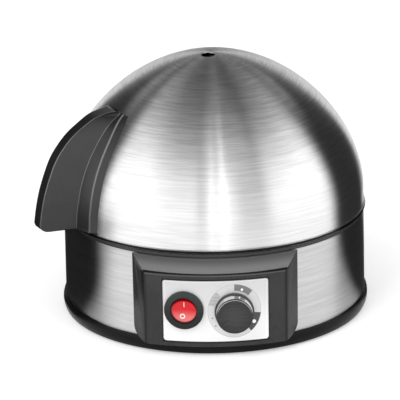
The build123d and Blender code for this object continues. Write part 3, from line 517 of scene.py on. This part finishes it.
def filleted(corners, reach, steps):
    """Closed loops with their corners rounded. Each corner becomes a quadratic curve that starts
    reach before it and ends reach after it, with one more point beyond each end to keep the flat
    stretches flat. corners is (rows, n, 3 or 2) and reach is one number for each corner."""
    reach = np.broadcast_to(np.asarray(reach, float), corners.shape[-2])[:, None]
    before = np.roll(corners, 1, axis=-2) - corners
    after = np.roll(corners, -1, axis=-2) - corners
    far_before = np.linalg.norm(before, axis=-1, keepdims=True) + 1e-12
    far_after = np.linalg.norm(after, axis=-1, keepdims=True) + 1e-12
    near = np.minimum(reach, 0.36 * np.minimum(far_before, far_after))
    start = corners + before / far_before * near
    end = corners + after / far_after * near
    t = np.linspace(0, 1, steps)[:, None]
    bend = (1 - t) ** 2 * start[..., None, :] + t**2 * end[..., None, :]
    bend = bend + 2 * t * (1 - t) * corners[..., None, :]
    guard = [corners + way * near * 1.3 for way in (before / far_before, after / far_after)]
    loop = np.concatenate([guard[0][..., None, :], bend, guard[1][..., None, :]], axis=-2)
    return loop.reshape(corners.shape[:-2] + (-1, corners.shape[-1]))


def curve_through(points, count):
    """Points along a natural cubic spline through given points, in chord length."""
    points = np.asarray(points, float)
    knots = np.concatenate([[0], np.cumsum(np.linalg.norm(np.diff(points, axis=0), axis=1))])
    gap = np.diff(knots)[:, None]
    slope = np.diff(points, axis=0) / gap
    inner = len(points) - 2
    system = np.diag(2 * (gap[:-1, 0] + gap[1:, 0]))
    system += np.diag(gap[1:inner, 0], 1) + np.diag(gap[1:inner, 0], -1)
    bend = np.zeros_like(points)
    bend[1:-1] = np.linalg.solve(system, 6 * np.diff(slope, axis=0))
    at = np.linspace(0, knots[-1], count)
    i = np.clip(np.searchsorted(knots, at, side="right") - 1, 0, len(gap) - 1)
    w, a, b = gap[i], (knots[i + 1] - at)[:, None], (at - knots[i])[:, None]
    cubic = (bend[i] * a**3 + bend[i + 1] * b**3) / (6 * w)
    line_a = (points[i] / w - bend[i] * w / 6) * a
    line_b = (points[i + 1] / w - bend[i + 1] * w / 6) * b
    return cubic + line_a + line_b


def dome_height_at(radius, wall):
    """Height of the dome at a radius: a superellipse, drawn in by the wall."""
    share = np.clip(radius / (LID_RADIUS - wall), 0, 1) ** POWER_OUT
    return DOME_START + (DOME_HEIGHT - wall) * np.clip(1 - share, 0, 1) ** (1 / POWER_UP)


def lid_profile(wall):
    """Radius and height down the lid from the crown's edge to the foot of its straight side.

    A turn runs evenly from the crown to the side: the radius is the lid's times the cosine of the
    turn to a power, and the height is the dome's times its sine to a power.
    """
    first = np.arccos((CROWN_RADIUS / (LID_RADIUS - wall)) ** (POWER_OUT / 2))
    turn = np.linspace(first, 0, 90)
    radius = (LID_RADIUS - wall) * np.cos(turn) ** (2 / POWER_OUT)
    height = DOME_START + (DOME_HEIGHT - wall) * np.sin(turn) ** (2 / POWER_UP)
    side = np.linspace(DOME_START, LID_FOOT, 8)[1:]
    radius = np.concatenate([radius, np.full(len(side), LID_RADIUS - wall)])
    return radius, np.concatenate([height, side])


def make_lid(material):
    """The lid as one closed sheet of rings. The crown's rings slide from the steam hole's centre to
    the axis while their radius grows, the side's rings turn about the axis, a circle's arc makes
    the bead, and the sheet comes back up inside, a wall's thickness in."""
    around = np.linspace(0, 2 * np.pi, LID_POINTS, endpoint=False)
    way = np.stack([np.cos(around), np.sin(around)], -1)
    rings = []

    def crown(wall, steps):
        """Rings on the dome between the steam hole and the crown's edge."""
        for share in steps:
            centre = STEAM_HOLE * (1 - share)
            reach = STEAM_RADIUS + (CROWN_RADIUS - STEAM_RADIUS) * share
            plan = centre + way * reach
            z = dome_height_at(np.linalg.norm(plan, axis=1), wall)
            rings.append(np.column_stack([plan, z]))

    def turned_ring(radius, z):
        """A level circle round the axis."""
        rings.append(np.column_stack([way * radius, np.full(len(around), z)]))

    steps = np.linspace(0, 1, 24) ** 1.3
    crown(0.0, steps[:-1])
    outer_r, outer_z = lid_profile(0.0)
    for radius, z in zip(outer_r, outer_z):
        turned_ring(radius, z)
    for z in BEAD_NECK:
        turned_ring(LID_RADIUS, z)
    bead_turns = np.radians([92, 88, 80, *range(68, -221, -12), -230, -234])
    for a in bead_turns:
        turned_ring(BEAD[0] + BEAD_RADIUS * np.cos(a), BEAD[1] + BEAD_RADIUS * np.sin(a))
    inner_r, inner_z = lid_profile(LID_WALL)
    for radius, z in zip(inner_r[::-1], inner_z[::-1]):
        turned_ring(radius, z)
    crown(LID_WALL, steps[::-1][1:])
    points = np.array(rings)
    run = np.concatenate([[0], np.cumsum(np.linalg.norm(np.diff(points[:, 0], axis=0), axis=1))])
    uv = np.zeros(points.shape[:2] + (2,))
    uv[..., 0] = around / (2 * np.pi)
    uv[..., 1] = run[:, None]
    return skin("dome_shell", points, closed_u=True, closed_v=True, material=material, uv=uv)


def dome_radius_at(height):
    """Outer radius of the lid at a height: the superellipse turned round."""
    share = np.clip((height - DOME_START) / DOME_HEIGHT, 0, 1) ** POWER_UP
    return LID_RADIUS * (1 - share) ** (1 / POWER_OUT)


# The grip: its turn round the axis, its side view as (reach, height), and its plans' sizes
GRIP_TURN = np.radians(207.0)
GRIP_FOOT = RIM_BOTTOM + 0.0029
GRIP_END = np.array([0.0640, 0.1309])
GRIP_TIP = np.array([0.0661, 0.1331])
GRIP_CORNER = 0.0045
GRIP_EDGE = 0.0009
GRIP_ROUNDS = 0.001 * np.array([0.35, 1.3, 0.6, 0.8, 0.8, 0.6, 1.3, 0.35])
# How strongly each rounded corner's crease gets its painted highlight
GRIP_CREASE_HIGHLIGHTS = (0.2, 0.8, 0.6, 0.9, 0.9, 0.6, 0.8, 0.2)
CORNER_STEPS = 6
ROOT_HALF = 0.0104
BACK_HALF = 0.0045
FIN_RUN = 0.04
RIDGE_SHARE = 0.82
GRIP_SIDE = [
    (0.1177, 0.0697), (0.1160, 0.0800), (0.1134, 0.0900), (0.1097, 0.1000), (0.1059, 0.1080),
    (0.1008, 0.1150), (0.0950, 0.1210), (0.0880, 0.1260), (0.0811, 0.1300), tuple(GRIP_TIP),
]


def grip_side_view():
    """Reach, height and inset of each level of the grip: the rounded lower edge, the quarter circle
    of the lower corner, and a spline up the back to just under the tip."""
    a = np.radians(np.linspace(0, 90, 6))
    low = GRIP_FOOT + GRIP_EDGE * (1 - np.cos(a))
    b = np.linspace(np.arccos(1 - GRIP_EDGE / GRIP_CORNER), np.pi / 2, 12)[1:]
    height = np.concatenate([low, GRIP_FOOT + GRIP_CORNER * (1 - np.cos(b))])
    lift = GRIP_CORNER - (height - GRIP_FOOT)
    reach = GRIP_SIDE[0][0] - GRIP_CORNER + np.sqrt(GRIP_CORNER**2 - lift**2)
    inset = np.concatenate([GRIP_EDGE * (1 - np.sin(a)), np.zeros(len(b))])
    back = curve_through(GRIP_SIDE, 220)[1:]
    back = back[back[:, 1] < GRIP_TIP[1] - 0.00018]
    reach = np.concatenate([reach, back[:, 0]])
    height = np.concatenate([height, back[:, 1]])
    return reach, height, np.concatenate([inset, np.zeros(len(back))])


def make_grip(material):
    """The lid's grip as one closed sheet of level plans. Each plan has four corners a side: the
    flange's edge on the dome, its ridge, the fin's root and its flat back, joined by straight lines
    with rounded corners. The top end is a cone square to the dome, which cuts every plan by its
    distance from the axis."""
    reach, height, inset = grip_side_view()

    # The dome's radius and steepness at each level: a distance square to the dome, divided by
    # its steepness, is the same distance measured level
    dome = dome_radius_at(height)
    step = 0.0005
    run = dome_radius_at(height - step) - dome_radius_at(height + step)
    steep = 2 * step / np.hypot(run, 2 * step)

    # How near each level is to the foot (low) and to the top end (high, and sharper, tip), from
    # its height above the lid's rim in millimetres
    above = (height - RIM_BOTTOM) * 1000
    low = np.clip(1 - above / 20, 0, 1)
    high = np.clip((above - 48) / 20.6, 0, 1)
    tip = high**8

    # Half plans: edge, ridge, root and a point far out along the fin's side
    spread = np.radians(15.2 - 2.6 * (low / 2 + high**3))
    half_width = ROOT_HALF - 0.0032 * low - 0.0015 * tip
    root = np.sqrt((dome + (0.0046 - 0.0022 * tip) / steep) ** 2 - half_width**2)
    draft = (half_width - BACK_HALF - 0.0007 * tip) / np.maximum(reach - root, 0.0048)
    ridge = dome + (0.003 - 0.001 * tip) / steep
    crest = RIDGE_SHARE * spread
    u = np.stack([dome * np.cos(spread), ridge * np.cos(crest), root, root + FIN_RUN], -1)
    w = np.stack([dome * np.sin(spread), ridge * np.sin(crest), half_width,
                  half_width - draft * FIN_RUN], -1)

    # Their corners, held between the end's cone and the fin's back by distance from the axis
    out = np.hypot(u, w)
    way = GRIP_TIP - GRIP_END
    cut = GRIP_END[0] + (height - GRIP_END[1]) * way[0] / way[1]
    back_w = half_width - draft * (reach - root)
    corner = np.stack([out[:, 0], out[:, 1], out[:, 2], np.hypot(reach, back_w)], -1)
    corner = np.minimum(corner, corner[:, 3:] - np.array([0.0006, 0.0004, 0.0002, 0]))
    corner = np.maximum(corner, cut[:, None] + np.array([0, 0.0002, 0.0004, 0.0006]))
    corner_u = np.stack([np.interp(a, b, c) for a, b, c in zip(corner, out, u)])
    corner_w = np.stack([np.interp(a, b, c) for a, b, c in zip(corner, out, w)])

    # Whole plans with rounded corners, drawn in at the lower edge, and closed along the dome
    half = np.stack([corner_u, corner_w], -1)
    corners = np.concatenate([half, half[:, ::-1] * (1, -1)], axis=1)
    outer = filleted(corners, GRIP_ROUNDS, CORNER_STEPS)
    along = np.roll(outer, -1, axis=1) - np.roll(outer, 1, axis=1)
    along /= np.linalg.norm(along, axis=-1, keepdims=True) + 1e-12
    outer = outer + inset[:, None, None] * np.stack([-along[..., 1], along[..., 0]], -1)
    inner_w = corner_w[:, :1] * np.linspace(-0.94, 0.94, 17)
    inner = np.maximum(dome + 0.0001, cut)[:, None]
    inner_u = np.sqrt(np.maximum(inner**2 - inner_w**2, 0))
    plan = np.concatenate([outer, np.stack([inner_u, inner_w], -1)], axis=1)

    # Both ends close on their middle line, and all turns to the grip's side of the lid
    plan = np.concatenate([plan[:1] * (1, 0), plan, plan[-1:] * (1, 0)])
    level_z = np.concatenate([height[:1], height, height[-1:]])
    rows = np.concatenate([plan, np.broadcast_to(level_z[:, None, None], plan[..., :1].shape)], -1)
    u, w = rows[..., 0].copy(), rows[..., 1].copy()
    rows[..., 0] = u * np.cos(GRIP_TURN) - w * np.sin(GRIP_TURN)
    rows[..., 1] = u * np.sin(GRIP_TURN) + w * np.cos(GRIP_TURN)

    # The middle two points of each rounded corner are marked for its crease's painted highlight
    crease_highlight = np.zeros(rows.shape[:2] + (2,))
    for k, weight in enumerate(GRIP_CREASE_HIGHLIGHTS):
        middle = k * (CORNER_STEPS + 2) + CORNER_STEPS // 2
        crease_highlight[:, middle:middle + 2, 0] = weight
    return skin("grip_shell", rows, closed_v=True, material=material, uv=crease_highlight)


def soften(name, new_name, body, width, material, angle=30.0):
    """A copy of a CAD node, its doubles merged and its flat faces joined, with its edges rounded
    off by a bevel, to stand for it."""
    mesh = cad[name].data.copy()
    mesh.name = new_name
    piece = bpy.data.objects.new(new_name, mesh)
    bpy.context.scene.collection.objects.link(piece)
    work = bmesh.new()
    work.from_mesh(mesh)
    bmesh.ops.remove_doubles(work, verts=work.verts, dist=2e-6)
    bmesh.ops.dissolve_limit(work, angle_limit=0.002, verts=work.verts, edges=work.edges)
    work.to_mesh(mesh)
    work.free()
    mesh.materials.clear()
    mesh.materials.append(material)
    bevel = piece.modifiers.new("edge", "BEVEL")
    bevel.width = width
    bevel.segments = 3
    bevel.limit_method = "ANGLE"
    bevel.angle_limit = np.radians(angle)
    bevel.harden_normals = True
    bevel.use_clamp_overlap = True
    mesh.polygons.foreach_set("use_smooth", np.ones(len(mesh.polygons), bool))
    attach(piece, body)
    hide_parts(name)


# Finishes
lid_steel = brushed_steel("lid steel", grey=0.78, roughness=0.31, along=RUN)
band_steel = brushed_steel("band steel", grey=0.56)
black = moulded("black plastic", (0.02, 0.02, 0.021), roughness=0.36)
bezel_black = scooped_black("bezel black")
grip_black = creased_black("grip black")
cap_black = lined_black("knob cap black")
knob_black = moulded("knob plastic", (0.035, 0.035, 0.037), roughness=0.38)
skirt_black = moulded("skirt black", (0.006, 0.006, 0.0065), roughness=0.3, specular=0.1)
rubber = moulded("foot rubber", (0.025, 0.025, 0.025), roughness=0.7)
plate_silver = panel_silver("plate silver")
rocker_red = lit_red("rocker red")
chrome = plain_metal("knob chrome", (0.86, 0.86, 0.87), roughness=0.12)
screw_steel = plain_metal("screw steel", (0.6, 0.6, 0.61))
dish_steel = brushed_steel("dish steel", grey=0.6)
element_steel = plain_metal("element steel", (0.3, 0.29, 0.28), roughness=0.5)
shield_metal = plain_metal("shield aluminium", (0.75, 0.75, 0.76), roughness=0.38)
brass = plain_metal("contact brass", (0.72, 0.53, 0.25), roughness=0.32)
grey_part = moulded("grey part", (0.28, 0.29, 0.31), roughness=0.5)
board_green = moulded("board green", (0.03, 0.16, 0.06), roughness=0.4)
flange_black = graded_black("flange black")

finishes = {
    "bottom_cover": skirt_black, "feet": rubber, "steel_band": band_steel, "base_housing": black,
    "control_bezel": bezel_black, "bezel_screws": screw_steel, "panel_plate": plate_silver,
    "switch_body": black, "switch_terminals": brass, "switch_rocker": rocker_red,
    "timer_knob": knob_black, "knob_ring": chrome, "knob_cap": cap_black,
    "control_pot": grey_part, "pot_nut": screw_steel, "pot_shaft": screw_steel,
    "circuit_board": board_green, "power_relay": black, "buzzer": black,
    "board_capacitor": grey_part, "board_screws": screw_steel, "dish_seal": rubber,
    "heating_dish": dish_steel, "heating_element": element_steel, "element_studs": screw_steel,
    "element_straps": screw_steel, "element_nuts": screw_steel, "heat_shield": shield_metal,
    "safety_thermostat": brass, "thermal_fuse": grey_part, "bottom_screws": screw_steel,
    "cord_bush": rubber, "egg_tray": black, "lid_dome": lid_steel, "lid_handle": black,
    "handle_screws": screw_steel, "handle_washers": screw_steel,
}
for node_name, finish in finishes.items():
    cad[node_name].data.materials.clear()
    cad[node_name].data.materials.append(finish)

lid_piece = make_lid(lid_steel)
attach(lid_piece, "lid")
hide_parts("lid_dome")
grip_piece = make_grip(grip_black)
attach(grip_piece, "lid")
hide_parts("lid_handle")

soften("control_bezel", "bezel_shell", "base", 0.0005, bezel_black)
soften("switch_body", "switch_shell", "base", 0.0006, flange_black)
soften("switch_rocker", "rocker_shell", "rocker", 0.0003, rocker_red, angle=12.0)
soften("timer_knob", "knob_shell", "knob", 0.0003, knob_black)
soften("knob_ring", "knob_band", "knob", 0.0002, chrome)
soften("knob_cap", "knob_face", "knob", 0.0003, cap_black)


# Camera, floor, light

PATH_STEPS = 25
AIM = Vector((0, 0, 0.08))
FLOOR_REACH = 6.0


def studio_world():
    """A plain white room. Shiny surfaces also see its soft boxes: brighter left of the camera than
    right of it, a wall behind the object that darkens upwards, and a dark ceiling."""
    recipe = Recipe("studio", world=True)
    _, (x, y, z) = recipe.place("Generated")
    flat = (x * x + y * y).root().largest(0.001)
    front, side = -y / flat, x / flat
    left_box = (-side).ramp(0.45, 0.95, 0.0, 0.5)
    right_box = side.ramp(0.6, 0.98, 0.0, 0.2)
    ahead = front.ramp(-0.9, -0.45)
    wall = (1.7 + left_box + right_box) * (ahead + (1 - ahead) * z.ramp(0.0, 0.5, 0.5, 0.1))
    glow = wall * z.ramp(0.46, 0.86, 1.0, 0.0)
    seen, shiny, through = recipe.rays()
    plain = 0.62
    strength = plain + (seen + through) * (1 - plain) + shiny * (glow - plain)
    inputs = {"Color": rgb(1.0), "Strength": strength}
    bpy.context.scene.world = recipe.finish(recipe.node("ShaderNodeBackground", None, inputs))


def card(name, turn, path, strength, soft):
    """A curved card that only shiny surfaces see: a path of (radius, height) carried between two
    turns from the front, in degrees, that fades out at its sides and its top."""
    a = np.radians(np.linspace(*turn, PATH_STEPS))
    r, z = spread_evenly(np.array(path), PATH_STEPS).T
    A, R = np.meshgrid(a, r, indexing="ij")
    Z = np.broadcast_to(z, R.shape)
    sheet = skin(name, np.stack([R * np.sin(A), -R * np.cos(A), Z], -1))
    recipe = Recipe(name)
    _, (x, y, z) = recipe.place()
    angle = x.turn_from(-y) * (180 / np.pi)
    near = (angle - turn[0]).smallest(turn[1] - angle)
    share = near.ramp(0.0, soft) * (path[-1][1] - z).ramp(0.0, 0.06)
    clear = recipe.node("ShaderNodeBsdfTransparent")
    glow = recipe.node("ShaderNodeEmission", None, {"Color": rgb(1.0), "Strength": strength})
    mix = recipe.node("ShaderNodeMixShader", None, {0: share, 1: clear, 2: glow})
    sheet.data.materials.append(recipe.finish(mix))
    for use in ("camera", "diffuse", "shadow", "transmission", "volume_scatter"):
        setattr(sheet, "visible_" + use, False)


def lamp(name, place, power, size):
    """A square soft box that faces the object."""
    data = bpy.data.lights.new(name, "AREA")
    data.energy, data.size = power, size
    made = bpy.data.objects.new(name, data)
    made.location = place
    made.rotation_euler = (AIM - Vector(place)).to_track_quat("-Z", "Y").to_euler()
    made.visible_glossy = False
    bpy.context.scene.collection.objects.link(made)


# The camera's place and turn come from a fit to the round rims of the real thing
camera_data = bpy.data.cameras.new("camera")
camera_data.lens = 223.8
camera_data.sensor_width = 36.0
camera_data.clip_end = 20.0
camera = bpy.data.objects.new("camera", camera_data)
right = Vector((0.99982, -0.00059, -0.01888))
up = Vector((0.01806, 0.32301, 0.94622))
back = Vector((0.00554, -0.94639, 0.32297))
turn = Matrix((right, up, back)).transposed().to_4x4()
camera.matrix_world = Matrix.Translation((0.0, -1.44043, 0.55595)) @ turn
bpy.context.scene.collection.objects.link(camera)
bpy.context.scene.camera = camera

corner = np.array([[[-1, -1, 0], [-1, 1, 0]], [[1, -1, 0], [1, 1, 0]]])
floor = skin("floor", corner * FLOOR_REACH)
floor_recipe = Recipe("floor white")
lit = sum(floor_recipe.rays(), start=0.0)
floor.data.materials.append(floor_recipe.surface(
    Base_Color=rgb(0.88), Roughness=0.9, Specular_IOR_Level=0.0, Emission_Color=rgb(1.0),
    Emission_Strength=lit * 0.36))

studio_world()
lamp("key", (-0.7, -1.0, 1.5), 11.0, 0.9)
lamp("fill", (1.1, -0.6, 1.2), 4.5, 1.0)
lamp("front", (0.1, -1.6, 0.3), 5.0, 0.6)

# Dark cards at the sides, and dark and bright ones in front, each a path of (radius, height)
wing = ((0.098, 0.001), (0.27, 0.001), (0.27, 0.34))
low_wing = (wing[0], wing[1], (0.27, 0.06))
high = ((0.3, 0.3), (0.3, 0.9))
tall = ((0.6, 0.0), (0.6, 1.1))
card("left_flag", (-148, -75), wing[1:], 0.02, soft=9.0)
card("left_foot", (-148, -62), low_wing, 0.02, soft=13.0)
card("left_high", (-124, -82), high, 0.1, soft=14.0)
card("right_flag", (80, 144), wing, 0.03, soft=13.0)
card("right_high", (80, 122), high, 0.1, soft=14.0)
card("dark_streak", (10.5, 46), tall, 0.85, soft=12.0)
card("dark_line", (-14, -3), tall, 1.0, soft=4.0)
card("bright_line", (5, 10), tall, 3.0, soft=2.0)
card("second_line", (-3.5, 0.0), tall, 2.5, soft=1.2)
card("soft_box", (-86, -52), ((0.8, 0.3), (0.8, 0.9)), 1.8, soft=12.0)

bpy.context.scene.view_settings.view_transform = "Standard"
